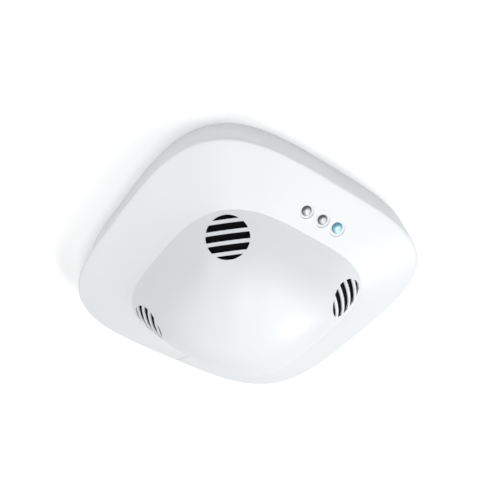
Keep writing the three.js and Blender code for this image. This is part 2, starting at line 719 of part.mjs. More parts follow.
// A ring of bent vanes that lets smoke in and keeps light out, with room for the optics blocks.
function labyrinthSolid() {
  const bottom = CHAMBER_LID + GAP;
  const depth = CHAMBER_FLOOR - GAP - bottom;
  const optics = [EMITTER_ANGLE, DIODE_ANGLE];
  const { inner, outer, height } = LABYRINTH_RING;
  let labyrinth = solid(turned(ringProfile(inner, outer, bottom, bottom + height), 40));
  for (let i = 0; i < VANES; i += 1) {
    const angle = (2 * Math.PI * i) / VANES;
    const besideOptics = optics.some((other) => Math.cos(angle - other) > VANE_SPAN);
    if (!besideOptics) {
      const blade = new THREE.ExtrudeGeometry(vaneShape(), { depth, bevelEnabled: false });
      blade.translate(0, 0, bottom);
      blade.rotateZ(angle);
      labyrinth = labyrinth.add(solid(blade));
    }
  }
  const above = CHAMBER_FLOOR - OPTICS_Z;
  const below = OPTICS_BLOCK.below + GAP;
  const clearLength = 13;
  for (const angle of optics) {
    const clear = new THREE.BoxGeometry(clearLength, OPTICS_BLOCK.width + 2 * GAP, above + below);
    clear.translate(0, 0, (above - below) / 2);
    labyrinth = labyrinth.subtract(facingMiddle(clear, angle, OPTICS_RADIUS + 2));
  }
  return labyrinth;
}

// A 5 mm optical device lying in its tunnel, lens towards the chamber's middle.
function opticsDevice(angle) {
  const points = [[0, -4.2], [2.5, -4.2], [2.5, 1.6], [2.1, 2.9], [1.2, 3.8], [0, 4.1]];
  const device = turned(points, 18);
  device.rotateY(Math.PI / 2);
  return facingMiddle(device, angle, OPTICS_RADIUS + 1);
}

function addOptics() {
  addPart('ir_emitter', opticsDevice(EMITTER_ANGLE), 0x6f8fb5, 0.15);
  addPart('photodiode', opticsDevice(DIODE_ANGLE), 0x22252b, 0.15);
  const { radius, depth, width, height } = DIODE_SHIELD;
  const [x, y] = polar(DIODE_ANGLE, radius);
  const can = new THREE.BoxGeometry(depth, width, height);
  can.rotateZ(DIODE_ANGLE);
  can.translate(x, y, PARTS_Z - height / 2);
  addPart('photodiode_shield', solid(can), STEEL, 0.3, 0.9);
}

function addSounder() {
  const { x, y, radius, height, wall, floor, port } = SOUNDER;
  const bottom = PARTS_Z - height;
  const inner = radius - wall;
  const cup = turned([
    [port, bottom], [radius, bottom], [radius, PARTS_Z], [inner, PARTS_Z], [inner, bottom + floor],
    [port, bottom + floor], [port, bottom],
  ], 36);
  cup.translate(x, y, 0);
  addPart('sounder_housing', solid(cup), BLACK, 0.5);
  const discBottom = bottom + SOUNDER_DISC.up;
  const disc = rod(x, y, inner - GAP, discBottom, discBottom + SOUNDER_DISC.thickness, 32);
  addPart('sounder_disc', disc, BRASS, 0.3, 0.9);
  const coilBottom = bottom + SOUNDER_COIL.up;
  const coil = turned(ringProfile(SOUNDER_COIL.inner, SOUNDER_COIL.outer, coilBottom, PARTS_Z), 24);
  coil.translate(x, y, 0);
  addPart('sounder_coil', solid(coil), COPPER, 0.4, 0.6);
}

function addBackupCell() {
  const { x, y, radius, length, shoulder, nub } = CELL;
  const floorZ = PARTS_Z - HOLDER.floor;
  const z = floorZ - GAP - radius;
  const ends = [y - length / 2, y + length / 2];
  const overlap = 0.4;
  const body = lyingRod(x, z, radius, ends[0], ends[1] - shoulder, 28);
  const terminal = lyingRod(x, z, nub, ends[1] - shoulder - overlap, ends[1], 16);
  addPart('backup_cell', join(body, terminal), CELL_BLUE, 0.35);

  const { left, right, wallRight, wall, wallHeight, slack } = HOLDER;
  const near = ends[0] - slack;
  const far = ends[1] + slack;
  const holder = join(
    box(x - left, x + right, near - wall, far + wall, floorZ, PARTS_Z),
    box(x - left, x + wallRight, near - wall, near, PARTS_Z - wallHeight, PARTS_Z),
    box(x - left, x + wallRight, far, far + wall, PARTS_Z - wallHeight, PARTS_Z),
  );
  addPart('cell_holder', holder, BLACK, 0.5);
  const { halfWidth, thickness, bottom } = CELL_CONTACT;
  const plates = [[near + GAP, 'negative'], [far - GAP - thickness, 'positive']];
  for (const [start, pole] of plates) {
    const contact = box(x - halfWidth, x + halfWidth, start, start + thickness, bottom, floorZ - GAP);
    addPart(`cell_contact_${pole}`, contact, STEEL, 0.3, 0.9);
  }
}

function addIndicators() {
  const { radius, shoulder, tip } = LAMP;
  ['left', 'middle'].forEach((place, i) => {
    const domed = [[0, tip], [radius * 0.6, tip + 0.2], [radius, shoulder]];
    const lamp = turned([...domed, [radius, PARTS_Z], [0, PARTS_Z]], 16);
    lamp.translate(WINDOW_X[i], WINDOW_Y, 0);
    addPart(`indicator_led_${place}`, solid(lamp), LAMP_CLEAR, 0.2);
  });
  const x = WINDOW_X[2];
  const body = block(x, WINDOW_Y, SWITCH.side, SWITCH.side, SWITCH.bottom, PARTS_Z)
    .subtract(rod(x, WINDOW_Y, SWITCH.bore, FAR_BELOW, SWITCH.boreTop, 16));
  addPart('test_switch', body, DARK_GREY, 0.5);
  const plunger = rod(x, WINDOW_Y, PLUNGER.radius, PLUNGER.bottom, PLUNGER.top, 16);
  addPart('test_switch_plunger', plunger, BLACK, 0.5);
}

// The larger electrical parts that hang from the board. Each has its own place and size here.
function addBoardParts() {
  const top = PARTS_Z;
  addPart('microcontroller', block(-4, -31, 10, 10, top - 1.4, top), BLACK, 0.5);

  const capacitor = { x: -31, y: 2, radius: 4, bottom: -24, chamfer: 0.4 };
  const can = turned([
    [0, capacitor.bottom],
    [capacitor.radius - capacitor.chamfer, capacitor.bottom],
    [capacitor.radius, capacitor.bottom + capacitor.chamfer],
    [capacitor.radius, top],
    [0, top],
  ], 24);
  can.translate(capacitor.x, capacitor.y, 0);
  addPart('supply_capacitor', solid(can), 0x2b3a57, 0.35);

  addPart('film_capacitor', block(-30.5, -25, 13, 6, top - 7.4, top), 0xc9a227, 0.4);

  const varistor = { x: -41, y: 11, radius: 3.6, thickness: 3.6, stem: 3 };
  const disc = new THREE.CylinderGeometry(varistor.radius, varistor.radius, varistor.thickness, 20);
  disc.rotateZ(Math.PI / 2);
  disc.translate(varistor.x, varistor.y, top - varistor.radius - 0.1);
  const leads = block(varistor.x, varistor.y, 0.8, 5, top - varistor.stem, top);
  addPart('varistor', join(solid(disc), leads), 0x2e62a8, 0.4);

  const fuse = { x: -44.5, y: -3.5, radius: 2.1, capRadius: 2.5, length: 12.8, cap: 4 };
  const fuseZ = top - fuse.capRadius - 0.1;
  const fuseEnds = [fuse.y - fuse.length / 2, fuse.y + fuse.length / 2];
  const tube = lyingRod(fuse.x, fuseZ, fuse.radius, fuseEnds[0] + 0.4, fuseEnds[1] - 0.4, 16);
  const caps = [
    lyingRod(fuse.x, fuseZ, fuse.capRadius, fuseEnds[0], fuseEnds[0] + fuse.cap, 16),
    lyingRod(fuse.x, fuseZ, fuse.capRadius, fuseEnds[1] - fuse.cap, fuseEnds[1], 16),
  ];
  addPart('fuse', join(tube, ...caps), 0xd3dadd, 0.2);

  addPart('bridge_rectifier', block(-42, -17, 5.4, 6.6, top - 2.6, top), BLACK, 0.5);

  const choke = { x: -36.2, y: -9.5, rim: 4.6, waist: 3.7, height: 8.4, rimHeight: 1.2 };
  const chokeBottom = top - choke.height;
  const bobbin = turned([
    [0, chokeBottom],
    [choke.rim, chokeBottom],
    [choke.rim, chokeBottom + choke.rimHeight],
    [choke.waist, chokeBottom + choke.rimHeight],
    [choke.waist, top - choke.rimHeight],
    [choke.rim, top - choke.rimHeight],
    [choke.rim, top],
    [0, top],
  ], 24);
  bobbin.translate(choke.x, choke.y, 0);
  addPart('supply_choke', solid(bobbin), COPPER, 0.5);
}

// ---------------------------------------------------------------- cover

// The hairline joint across the flange in the middle of the +Y side.
function seamCutter() {
  const near = CREASE_HALF + 1;
  const far = EDGE_HALF + 1;
  const clear = 6;
  const run = new THREE.Shape();
  run.moveTo(clear - flangeZ(near), near);
  run.lineTo(clear - flangeZ(far), far);
  run.lineTo(-flangeZ(far) - SEAM.depth, far);
  run.lineTo(-flangeZ(near) - SEAM.depth, near);
  const cutter = new THREE.ExtrudeGeometry(run, { depth: SEAM.width, bevelEnabled: false });
  cutter.rotateY(Math.PI / 2);
  cutter.translate(SEAM.x - SEAM.width / 2, 0, 0);
  return solid(cutter);
}

// The low gap in the -X rim, where a tool lifts the cover off.
function pryNotch() {
  const { y, length, height } = PRY_NOTCH;
  const reach = RIM_HALF - 4 * WALL;
  return box(-EDGE_HALF - 1, -reach, y - length / 2, y + length / 2, RIM_Z - height, FAR_ABOVE);
}

function addCover() {
  let shell = casingSolid();
  const radii = [LENS_RADIUS, LENS_RADIUS, BUTTON_RADIUS];
  const clear = 3;
  radii.forEach((radius, i) => {
    const bore = windowBar(WINDOW_X[i], radius + GAP, belowFlange(clear), belowFlange(-2 * WALL));
    const seatRadius = radius + GAP + SEAT_WIDTH[i];
    const seat = windowBar(WINDOW_X[i], seatRadius, belowFlange(clear), belowFlange(-SEAT_DEPTH));
    shell = shell.subtract(bore).subtract(seat);
  });
  for (let corner = 0; corner < 4; corner += 1) {
    shell = shell.subtract(inletPocket(corner));
    for (const cutter of inletCutters(corner)) {
      shell = shell.subtract(cutter);
    }
  }
  addPart('cover_shell', shell.subtract(pryNotch()).subtract(seamCutter()), WHITE, 0.38);
  for (let corner = 0; corner < 4; corner += 1) {
    addPart(`inlet_screen_${corner + 1}`, screenSolid(corner), BLACK, 0.8);
  }
}

function addWindows() {
  const guideTop = () => LAMP.tip - GAP;
  ['left', 'middle'].forEach((place, i) => {
    const guide = windowBar(WINDOW_X[i], LENS_RADIUS, belowFlange(GUIDE_PROUD), guideTop);
    addPart(`light_guide_${place}`, guide, 0xe9eef0, 0.1);
  });
  const buttonTop = () => PLUNGER.bottom - GAP;
  const button = windowBar(WINDOW_X[2], BUTTON_RADIUS, belowFlange(BUTTON_PROUD), buttonTop);
  addPart('test_button', button, 0x53b9d6, 0.15);
}

addBase();
addStrainRelief();
addTerminalBlock();
addContactSocket();
addGripSprings();
addHousing();
addBoard();
addChamber();
addOptics();
addSounder();
addBackupCell();
addIndicators();
addBoardParts();
addCover();
addWindows();

export default detector;
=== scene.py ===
"""Looks for the ceiling smoke detector: fine casing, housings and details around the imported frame.

Metres, in the part's own frame: the ceiling is z = 0, the dome points down and the row of
windows is on the -Y side.
"""

import json
import math

import bmesh
import bpy
from mathutils import Matrix, Vector


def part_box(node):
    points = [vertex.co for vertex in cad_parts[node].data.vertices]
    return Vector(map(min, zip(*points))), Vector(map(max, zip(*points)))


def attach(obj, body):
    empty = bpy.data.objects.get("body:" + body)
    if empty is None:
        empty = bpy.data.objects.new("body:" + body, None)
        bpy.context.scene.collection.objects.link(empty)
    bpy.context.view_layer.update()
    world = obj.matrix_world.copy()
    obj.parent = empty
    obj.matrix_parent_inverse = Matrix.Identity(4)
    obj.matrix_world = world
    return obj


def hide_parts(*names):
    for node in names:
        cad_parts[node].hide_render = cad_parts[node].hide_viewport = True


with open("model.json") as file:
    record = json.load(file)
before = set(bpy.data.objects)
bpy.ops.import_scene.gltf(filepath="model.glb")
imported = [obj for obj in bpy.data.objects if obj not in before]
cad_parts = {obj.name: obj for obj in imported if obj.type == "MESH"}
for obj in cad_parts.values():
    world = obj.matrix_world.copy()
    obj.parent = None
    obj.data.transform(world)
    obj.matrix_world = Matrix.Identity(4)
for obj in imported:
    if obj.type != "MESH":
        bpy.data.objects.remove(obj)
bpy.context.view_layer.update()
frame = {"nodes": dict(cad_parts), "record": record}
scene = bpy.context.scene

MM = 0.001

# ---------------------------------------------------------------- casing dimensions

cover_low, cover_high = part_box("cover_shell")
EDGE_HALF = cover_high.x                  # widest section, the flange's lower edge
RIM_Z = cover_high.z
APEX_Z = cover_low.z
RIM_HALF = EDGE_HALF - 2.1 * MM
CREASE_HALF = 40.5 * MM                   # where the flange meets the dome
EDGE_Z = -14.6 * MM
CREASE_Z = -24 * MM
DOME_SIDE_ANGLE = math.radians(52)
WALL = 2 * MM
EDGE_ROUND = 1.1 * MM
CREASE_ROUND = 0.6 * MM
RIM_ROUND = 0.4 * MM
INNER_EDGE_ROUND = 0.8 * MM
INNER_CREASE_ROUND = 1 * MM

EDGE_SQUARENESS = 3.67
CREASE_SQUARENESS = 3.25
APEX_SQUARENESS = 2.25

AROUND = 288                              # mesh steps round the casing
PROFILE_STEP = 1.4 * MM                   # longest mesh step along its section

INLET_HALF = 34.9 * MM
INLET_RADIUS = 8.15 * MM
INLET_SLOTS = 5
INLET_PITCH = 3.87 * MM
INLET_SLOT_HEIGHT = 2.5 * MM
INLET_WALL = 0.5 * MM                     # what the wall thins to at the slots
INLET_SLOT_REACH = (-5 * MM, 4 * MM)      # of a slot's cutter, into the casing and out of it
POCKET_RADIUS = 9.4 * MM                  # of the thinned field
POCKET_REACH = 8 * MM                     # of the bar that bounds it, either side of the face
OVERCUT = 1 * MM                          # how far other cutters run past the casing

# Windows in the flange: two light guides and the test button, each in a shallow seat.
WINDOWS = ["light_guide_left", "light_guide_middle", "test_button"]
WINDOW_Y = sum(corner.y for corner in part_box("test_button")) / 2
CAD_WINDOW_GAP = 0.3 * MM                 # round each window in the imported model
WINDOW_GAP = 0.1 * MM                     # round each lens here
SEAT_WIDTH = [0.75 * MM, 0.75 * MM, 0.9 * MM]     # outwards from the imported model's gap
SEAT_DEPTH = 0.4 * MM
SEAT_CLEAR = 3 * MM                       # how far a seat's cutter stands out of the flange
LENS_EDGE_DEPTH = 0.3 * MM                # of a lens's edge below the flange
LENS_BACK = 0.85                          # share of a lens's radius that its flat back keeps

# Notch in the rim on the -X side, and the hairline joint across the flange on the +Y side.
PRY_NOTCH = {"x": -50 * MM, "y0": -4 * MM, "y1": 8 * MM, "height": 1 * MM}
SEAM = {"x": 3 * MM, "start": CREASE_HALF + 0.5 * MM, "width": 0.35 * MM, "depth": 0.8 * MM}
SEAM_CLEAR = 6 * MM                       # how far its cutter stands out of the flange

SMOOTH_ANGLE = 32                         # degrees; sharper edges stay crisp
LENS_SMOOTH_ANGLE = 50
WELD_DISTANCE = 0.001 * MM
BEVEL_WIDTH = 0.12 * MM
BEVEL_ANGLE = 40                          # degrees; flatter edges get no bevel
NEARLY_STRAIGHT = 89.5                    # degrees, half the angle at a corner too flat to round
TINY = 1e-9

FLANGE_SLOPE = (EDGE_Z - CREASE_Z) / (EDGE_HALF - CREASE_HALF)
SIDE_SLOPE = math.tan(DOME_SIDE_ANGLE)
CAP_HALF = (APEX_Z - CREASE_Z + CREASE_HALF * SIDE_SLOPE) / (SIDE_SLOPE - math.tan(DOME_SIDE_ANGLE / 2))
CAP_RADIUS = CAP_HALF / math.sin(DOME_SIDE_ANGLE)
CAP_CENTRE_Z = APEX_Z + CAP_RADIUS


def lerp(a, b, t):
    return a + (b - a) * t


def flange_height(half):
    """Height of the flange's outer face at a half-width."""
    return EDGE_Z - (EDGE_HALF - half) * FLANGE_SLOPE


def squareness_at(half):
    if half >= CREASE_HALF:
        return lerp(CREASE_SQUARENESS, EDGE_SQUARENESS, (half - CREASE_HALF) / (EDGE_HALF - CREASE_HALF))
    return lerp(APEX_SQUARENESS, CREASE_SQUARENESS, half / CREASE_HALF)


def square_reach(angle, squareness):
    total = abs(math.cos(angle)) ** squareness + abs(math.sin(angle)) ** squareness
    return total ** (-1 / squareness)


# ---------------------------------------------------------------- mesh helpers


def new_object(name, mesh):
    obj = bpy.data.objects.new(name, mesh)
    scene.collection.objects.link(obj)
    return obj


def object_from(name, bm):
    bmesh.ops.recalc_face_normals(bm, faces=bm.faces)
    mesh = bpy.data.meshes.new(name)
    bm.to_mesh(mesh)
    bm.free()
    return new_object(name, mesh)


def shade_by_angle(obj, degrees=SMOOTH_ANGLE):
    """Smooth shading, with edges sharper than the angle left crisp."""
    bm = bmesh.new()
    bm.from_mesh(obj.data)
    limit = math.radians(degrees)
    for face in bm.faces:
        face.smooth = True
    for edge in bm.edges:
        edge.smooth = len(edge.link_faces) == 2 and edge.calc_face_angle(0) < limit
    bm.to_mesh(obj.data)
    bm.free()


def apply_modifiers(obj):
    depsgraph = bpy.context.evaluated_depsgraph_get()
    mesh = bpy.data.meshes.new_from_object(obj.evaluated_get(depsgraph))
    obj.modifiers.clear()
    obj.data = mesh


def cut_or_join(target, tools, operation):
    """Boolean of the target with one object made of all the tools, which are used up."""
    bm = bmesh.new()
    for tool in tools:
        bm.from_mesh(tool.data)
        bpy.data.objects.remove(tool)
    tool = object_from("tool", bm)
    modifier = target.modifiers.new("boolean", "BOOLEAN")
    modifier.operation = operation
    modifier.solver = "EXACT"
    modifier.object = tool
    apply_modifiers(target)
    bpy.data.objects.remove(tool)


def prism(name, outline, z0, z1, matrix=Matrix.Identity(4)):
    """An outline of (x, y) points raised from z0 to z1, then placed by the matrix."""
    bm = bmesh.new()
    low = [bm.verts.new(matrix @ Vector((x, y, z0))) for x, y in outline]
    high = [bm.verts.new(matrix @ Vector((x, y, z1))) for x, y in outline]
    bm.faces.new(list(reversed(low)))
    bm.faces.new(high)
    count = len(outline)
    for i in range(count):
        j = (i + 1) % count
        bm.faces.new((low[i], low[j], high[j], high[i]))
    return object_from(name, bm)


def rounded_path(points, radii, steps=6):
    """A polyline whose corners are replaced by arcs. The ends stay as they are."""
    path = [points[0]]
    for i in range(1, len(points) - 1):
        corner = Vector(points[i])
        back = (Vector(points[i - 1]) - corner).normalized()
        ahead = (Vector(points[i + 1]) - corner).normalized()
        half_angle = back.angle(ahead) / 2
        radius = radii[i]
        if radius <= 0 or half_angle > math.radians(NEARLY_STRAIGHT):
            path.append(tuple(corner))
            continue
        centre = corner + (back + ahead).normalized() * (radius / math.sin(half_angle))
        start = corner + back * (radius / math.tan(half_angle)) - centre
        end = corner + ahead * (radius / math.tan(half_angle)) - centre
        sweep = start.angle_signed(end)
        for k in range(steps + 1):
            turned = Matrix.Rotation(-sweep * k / steps, 2) @ start
            path.append(tuple(centre + turned))
    path.append(points[-1])
    return path


def circle(radius, steps=72):
    return [(radius * math.cos(2 * math.pi * i / steps), radius * math.sin(2 * math.pi * i / steps))
            for i in range(steps)]


# ---------------------------------------------------------------- casing


def cap_arc(radius, steps=36):
    """The dome's section from beside the apex to its straight side."""
    angles = [DOME_SIDE_ANGLE * i / steps for i in range(1, steps + 1)]
    return [(radius * math.sin(angle), CAP_CENTRE_Z - radius * math.cos(angle)) for angle in angles]


def spread(start, end, steps):
    """Evenly spaced points after start and before end."""
    return [(lerp(start[0], end[0], k / steps), lerp(start[1], end[1], k / steps)) for k in range(1, steps)]


def inside_corners(wall):
    """Rim, edge and crease of a section that runs parallel to the outer one, a wall inwards."""
    lean = (EDGE_HALF - RIM_HALF) / (RIM_Z - EDGE_Z)
    lift = wall * math.hypot(1, FLANGE_SLOPE)
    shift = wall / math.sin(DOME_SIDE_ANGLE)
    crease = (CREASE_HALF - shift) * SIDE_SLOPE - CREASE_HALF * FLANGE_SLOPE + lift
    crease /= SIDE_SLOPE - FLANGE_SLOPE
    rim = RIM_HALF - wall
    edge = rim + lean * (RIM_Z - EDGE_Z - lift + EDGE_HALF * FLANGE_SLOPE)
    edge /= 1 + lean * FLANGE_SLOPE
    return [(rim, RIM_Z), (edge, flange_height(edge) + lift), (crease, flange_height(crease) + lift)]


def dense_path(path):
    dense = [path[0]]
    for start, end in zip(path, path[1:]):
        steps = max(1, round(math.dist(start, end) / PROFILE_STEP))
        dense += spread(start, end, steps) + [end]
    return dense


def casing_profile():
    """Wall section, from the apex outside round the rim and back inside, without the two apexes."""
    outer = rounded_path(
        [cap_arc(CAP_RADIUS)[-1], (CREASE_HALF, CREASE_Z), (EDGE_HALF, EDGE_Z), (RIM_HALF, RIM_Z),
         *inside_corners(WALL), cap_arc(CAP_RADIUS - WALL)[-1]],
        [0, CREASE_ROUND, EDGE_ROUND, RIM_ROUND, RIM_ROUND, INNER_EDGE_ROUND, INNER_CREASE_ROUND, 0],
    )
    inner_cap = list(reversed(cap_arc(CAP_RADIUS - WALL)))
    return cap_arc(CAP_RADIUS)[:-1] + dense_path(outer) + inner_cap[1:]


def squared_solid(name, profile, ends):
    """A profile turned about the upright axis, each section pressed into a rounded square, closed
    at the axis at the two heights in ends."""
    bm = bmesh.new()
    rings = []
    for half, z in profile:
        squareness = squareness_at(half)
        ring = []
        for i in range(AROUND):
            angle = 2 * math.pi * i / AROUND
            reach = half * square_reach(angle, squareness)
            ring.append(bm.verts.new((reach * math.cos(angle), reach * math.sin(angle), z)))
        rings.append(ring)
    for low, high in zip(rings, rings[1:]):
        for i in range(AROUND):
            j = (i + 1) % AROUND
            bm.faces.new((low[i], low[j], high[j], high[i]))
    for ring, z in ((rings[0], ends[0]), (rings[-1], ends[1])):
        middle = bm.verts.new((0, 0, z))
        for i in range(AROUND):
            bm.faces.new((middle, ring[i], ring[(i + 1) % AROUND]))
    return object_from(name, bm)


def casing_body():
    return squared_solid("casing", casing_profile(), (APEX_Z, APEX_Z + WALL))


def casing_inside(depth):
    """Everything inside the casing that is at least a depth under its outer face."""
    rim, edge, crease = inside_corners(depth)
    path = cap_arc(CAP_RADIUS - depth) + [crease, edge, rim]
    return squared_solid("inside", dense_path(path), (APEX_Z + depth, RIM_Z))


def diagonal_point(half):
    distance = half * square_reach(math.pi / 4, squareness_at(half))
    return Vector((distance, CREASE_Z - (CREASE_HALF - half) * SIDE_SLOPE))


def inlet_matrix(corner):
    """An inlet's own frame: X along its slots, Y up the dome's side, Z out of the dome."""
    rise = diagonal_point(INLET_HALF + 2 * MM) - diagonal_point(INLET_HALF - 2 * MM)
    tilt = math.atan2(rise.y, rise.x)
    heading = math.pi / 4 + corner * math.pi / 2
    outward = Vector((math.cos(heading), math.sin(heading), 0))
    up = Vector((0, 0, 1))
    normal = outward * math.sin(tilt) - up * math.cos(tilt)
    slope = outward * math.cos(tilt) + up * math.sin(tilt)
    along = slope.cross(normal)
    middle = diagonal_point(INLET_HALF)
    basis = Matrix((along, slope, normal)).transposed().to_4x4()
    return Matrix.Translation(outward * middle.x + up * middle.y) @ basis


def inlet_slot_outline(offset, steps=10):
    """A straight strip whose ends follow the inlet's round edge, with small rounded corners."""
    low = max(offset - INLET_SLOT_HEIGHT / 2, -INLET_RADIUS)
    high = min(offset + INLET_SLOT_HEIGHT / 2, INLET_RADIUS)
    start, end = math.asin(low / INLET_RADIUS), math.asin(high / INLET_RADIUS)
    angles = [lerp(start, end, k / steps) for k in range(steps + 1)]
    right = [(INLET_RADIUS * math.cos(angle), INLET_RADIUS * math.sin(angle)) for angle in angles]
    if abs(low) >= INLET_RADIUS - TINY:
        right = right[1:]
    if abs(high) >= INLET_RADIUS - TINY:
        right = right[:-1]
    left = [(-x, y) for x, y in reversed(right)]
    return right + left


def inlet_pocket(corner):
    """The round hollow behind an inlet's slots, which leaves the wall thin there."""
    pocket = casing_inside(INLET_WALL)
    bar = prism("bar", circle(POCKET_RADIUS), -POCKET_REACH, POCKET_REACH, inlet_matrix(corner))
    cut_or_join(pocket, [bar], "INTERSECT")
    return pocket


def window_bar(x, radius, rings, steps=48):
    """An upright bar, round when seen square to the flange. Each ring is a share of the radius
    and a function that gives its height from Y."""
    squash = 1 / math.hypot(1, FLANGE_SLOPE)
    bm = bmesh.new()
    made = []
    for share, height in rings:
        ring = []
        for px, py in circle(radius * share, steps):
            y = WINDOW_Y + py * squash
            ring.append(bm.verts.new((x + px, y, height(y))))
        made.append(ring)
    bm.faces.new(list(reversed(made[0])))
    bm.faces.new(made[-1])
    for low, high in zip(made, made[1:]):
        for k in range(steps):
            n = (k + 1) % steps
            bm.faces.new((low[k], low[n], high[n], high[k]))
    return object_from("window bar", bm)


def below_flange(amount):
    """A height parallel to the flange's outer face, below it by the given amount."""
    return lambda y: flange_height(abs(y)) - amount


def window_place(node):
    """A window's X and its radius."""
    low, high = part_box(node)
    return (low.x + high.x) / 2, (high.x - low.x) / 2


def notch_cutter():
    y0, y1 = PRY_NOTCH["y0"], PRY_NOTCH["y1"]
    x0, x1 = -EDGE_HALF - OVERCUT, PRY_NOTCH["x"]
    outline = [(x0, y0), (x1, y0), (x1, y1), (x0, y1)]
    return prism("notch", outline, RIM_Z - PRY_NOTCH["height"], OVERCUT)


def seam_cutter():
    depth, half_width = SEAM["depth"], SEAM["width"] / 2
    near, far = SEAM["start"], EDGE_HALF + OVERCUT
    outline = [(near, flange_height(near) + depth), (far, flange_height(far) + depth),
               (far, flange_height(far) - SEAM_CLEAR), (near, flange_height(near) - SEAM_CLEAR)]
    turn = Matrix(((0, 0, 1, 0), (1, 0, 0, 0), (0, 1, 0, 0), (0, 0, 0, 1)))
    return prism("seam", outline, SEAM["x"] - half_width, SEAM["x"] + half_width, turn)


def build_cover():
    casing = casing_body()
    cutters = []
    clear = below_flange(SEAT_CLEAR)
    floor = below_flange(-SEAT_DEPTH)
    for node, width in zip(WINDOWS, SEAT_WIDTH):
        x, radius = window_place(node)
        seat = radius + CAD_WINDOW_GAP + width
        bore = (radius + WINDOW_GAP) / seat
        rings = [(1, clear), (1, floor), (bore, floor), (bore, below_flange(-2 * WALL))]
        cutters.append(window_bar(x, seat, rings))
    for corner in range(4):
        for i in range(INLET_SLOTS):
            offset = (i - (INLET_SLOTS - 1) / 2) * INLET_PITCH
            outline = inlet_slot_outline(offset)
            cutters.append(prism("slot", outline, *INLET_SLOT_REACH, inlet_matrix(corner)))
    cutters += [notch_cutter(), seam_cutter()]
    cut_or_join(casing, cutters, "DIFFERENCE")
    cut_or_join(casing, [inlet_pocket(corner) for corner in range(4)], "DIFFERENCE")
    shade_by_angle(casing)
    casing.data.materials.clear()
    casing.data.materials.append(once("cover_white", white_plastic))
    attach(casing, "cover")
    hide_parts("cover_shell")


def level(z):
    """A flat end's height, the same at every Y."""
    return lambda y: z


WINDOW_PIECES = {
    "light_guide_left": ("lens_left", "cover", "clear_lens", 0.25 * MM),
    "light_guide_middle": ("lens_middle", "cover", "clear_lens", 0.25 * MM),
    "test_button": ("button_cap", "test_button", "blue_lens", 0.35 * MM),
}


def build_windows():
    """Lenses and button with domed faces, set in their seats."""
    steps = 10
    for node, (name, body, slot, proud) in WINDOW_PIECES.items():
        x, radius = window_place(node)
        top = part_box(node)[1].z
        rings = []
        for k in range(steps):
            share = math.sin(math.pi / 2 * (k + 0.5) / steps)
            rise = (LENS_EDGE_DEPTH + proud) * math.sqrt(1 - share * share)
            rings.append((share, below_flange(rise - LENS_EDGE_DEPTH)))
        rings += [(1, below_flange(-LENS_EDGE_DEPTH)), (1, level(top - LENS_EDGE_DEPTH))]
        rings.append((LENS_BACK, level(top)))
        piece = window_bar(x, radius, rings)
        piece.name = name
        shade_by_angle(piece, LENS_SMOOTH_ANGLE)
        piece.data.materials.append(once(slot, SLOT_MATERIALS[slot]))
        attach(piece, body)
        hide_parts(node)


# ---------------------------------------------------------------- materials


class Nodes:
    """Short ways to add nodes to one material's tree."""

    def __init__(self, name):
        self.material = bpy.data.materials.new(name)
        self.material.use_nodes = True
        self.tree = self.material.node_tree
        self.shader = self.tree.nodes["Principled BSDF"]
        self.place = self.add("ShaderNodeTexCoord").outputs["Object"]

    def add(self, kind, **values):
        node = self.tree.nodes.new(kind)
        for key, value in values.items():
            setattr(node, key, value)
        return node

    def link(self, output, socket):
        self.tree.links.new(output, socket)

    def noise(self, scale, detail=3, stretch=(1, 1, 1)):
        mapping = self.add("ShaderNodeMapping")
        mapping.inputs["Scale"].default_value = stretch
        self.link(self.place, mapping.inputs["Vector"])
        noise = self.add("ShaderNodeTexNoise")
        noise.inputs["Scale"].default_value = scale
        noise.inputs["Detail"].default_value = detail
        self.link(mapping.outputs["Vector"], noise.inputs["Vector"])
        return noise.outputs["Fac"]

    def between(self, factor, low, high):
        """A number that runs from low to high with a 0 to 1 factor."""
        node = self.add("ShaderNodeMapRange")
        node.inputs["To Min"].default_value = low
        node.inputs["To Max"].default_value = high
        self.link(factor, node.inputs["Value"])
        return node.outputs["Result"]

    def blend(self, factor, first, second):
        node = self.add("ShaderNodeMix", data_type="RGBA")
        for socket, colour in ((node.inputs[6], first), (node.inputs[7], second)):
            if isinstance(colour, tuple):
                socket.default_value = (*colour, 1)
            else:
                self.link(colour, socket)
        self.link(factor, node.inputs[0])
        return node.outputs[2]

    def bump(self, height, strength, distance):
        node = self.add("ShaderNodeBump")
        node.inputs["Strength"].default_value = strength
        node.inputs["Distance"].default_value = distance
        self.link(height, node.inputs["Height"])
        self.link(node.outputs["Normal"], self.shader.inputs["Normal"])


def shade(colour, factor):
    return tuple(min(1, c * factor) for c in colour)


def plastic(name, colour, roughness=0.45, grain=1800, depth=0.02, variation=0.03):
    """Moulded plastic: faint mottling, uneven gloss and a fine moulded grain."""
    nodes = Nodes(name)
    mottle = nodes.noise(45, 4)
    nodes.link(nodes.blend(mottle, shade(colour, 1 - variation), shade(colour, 1 + variation)),
               nodes.shader.inputs["Base Color"])
    nodes.link(nodes.between(nodes.noise(260, 4), roughness - 0.05, roughness + 0.06),
               nodes.shader.inputs["Roughness"])
    nodes.bump(nodes.noise(grain, 2), 0.25, depth * MM)
    return nodes.material


_made = {}


def once(key, make):
    if key not in _made:
        _made[key] = make()
    return _made[key]


def white_plastic():
    return plastic("satin white", (0.86, 0.875, 0.89), 0.4, 2600, 0.008, 0.006)


def metal(name, colour, roughness=0.3, stretch=(1, 12, 1)):
    nodes = Nodes(name)
    nodes.shader.inputs["Metallic"].default_value = 1
    streaks = nodes.noise(700, 4, stretch)
    nodes.link(nodes.blend(streaks, shade(colour, 0.82), shade(colour, 1.1)),
               nodes.shader.inputs["Base Color"])
    nodes.link(nodes.between(streaks, roughness - 0.08, roughness + 0.12),
               nodes.shader.inputs["Roughness"])
    nodes.bump(streaks, 0.15, 0.01 * MM)
    return nodes.material


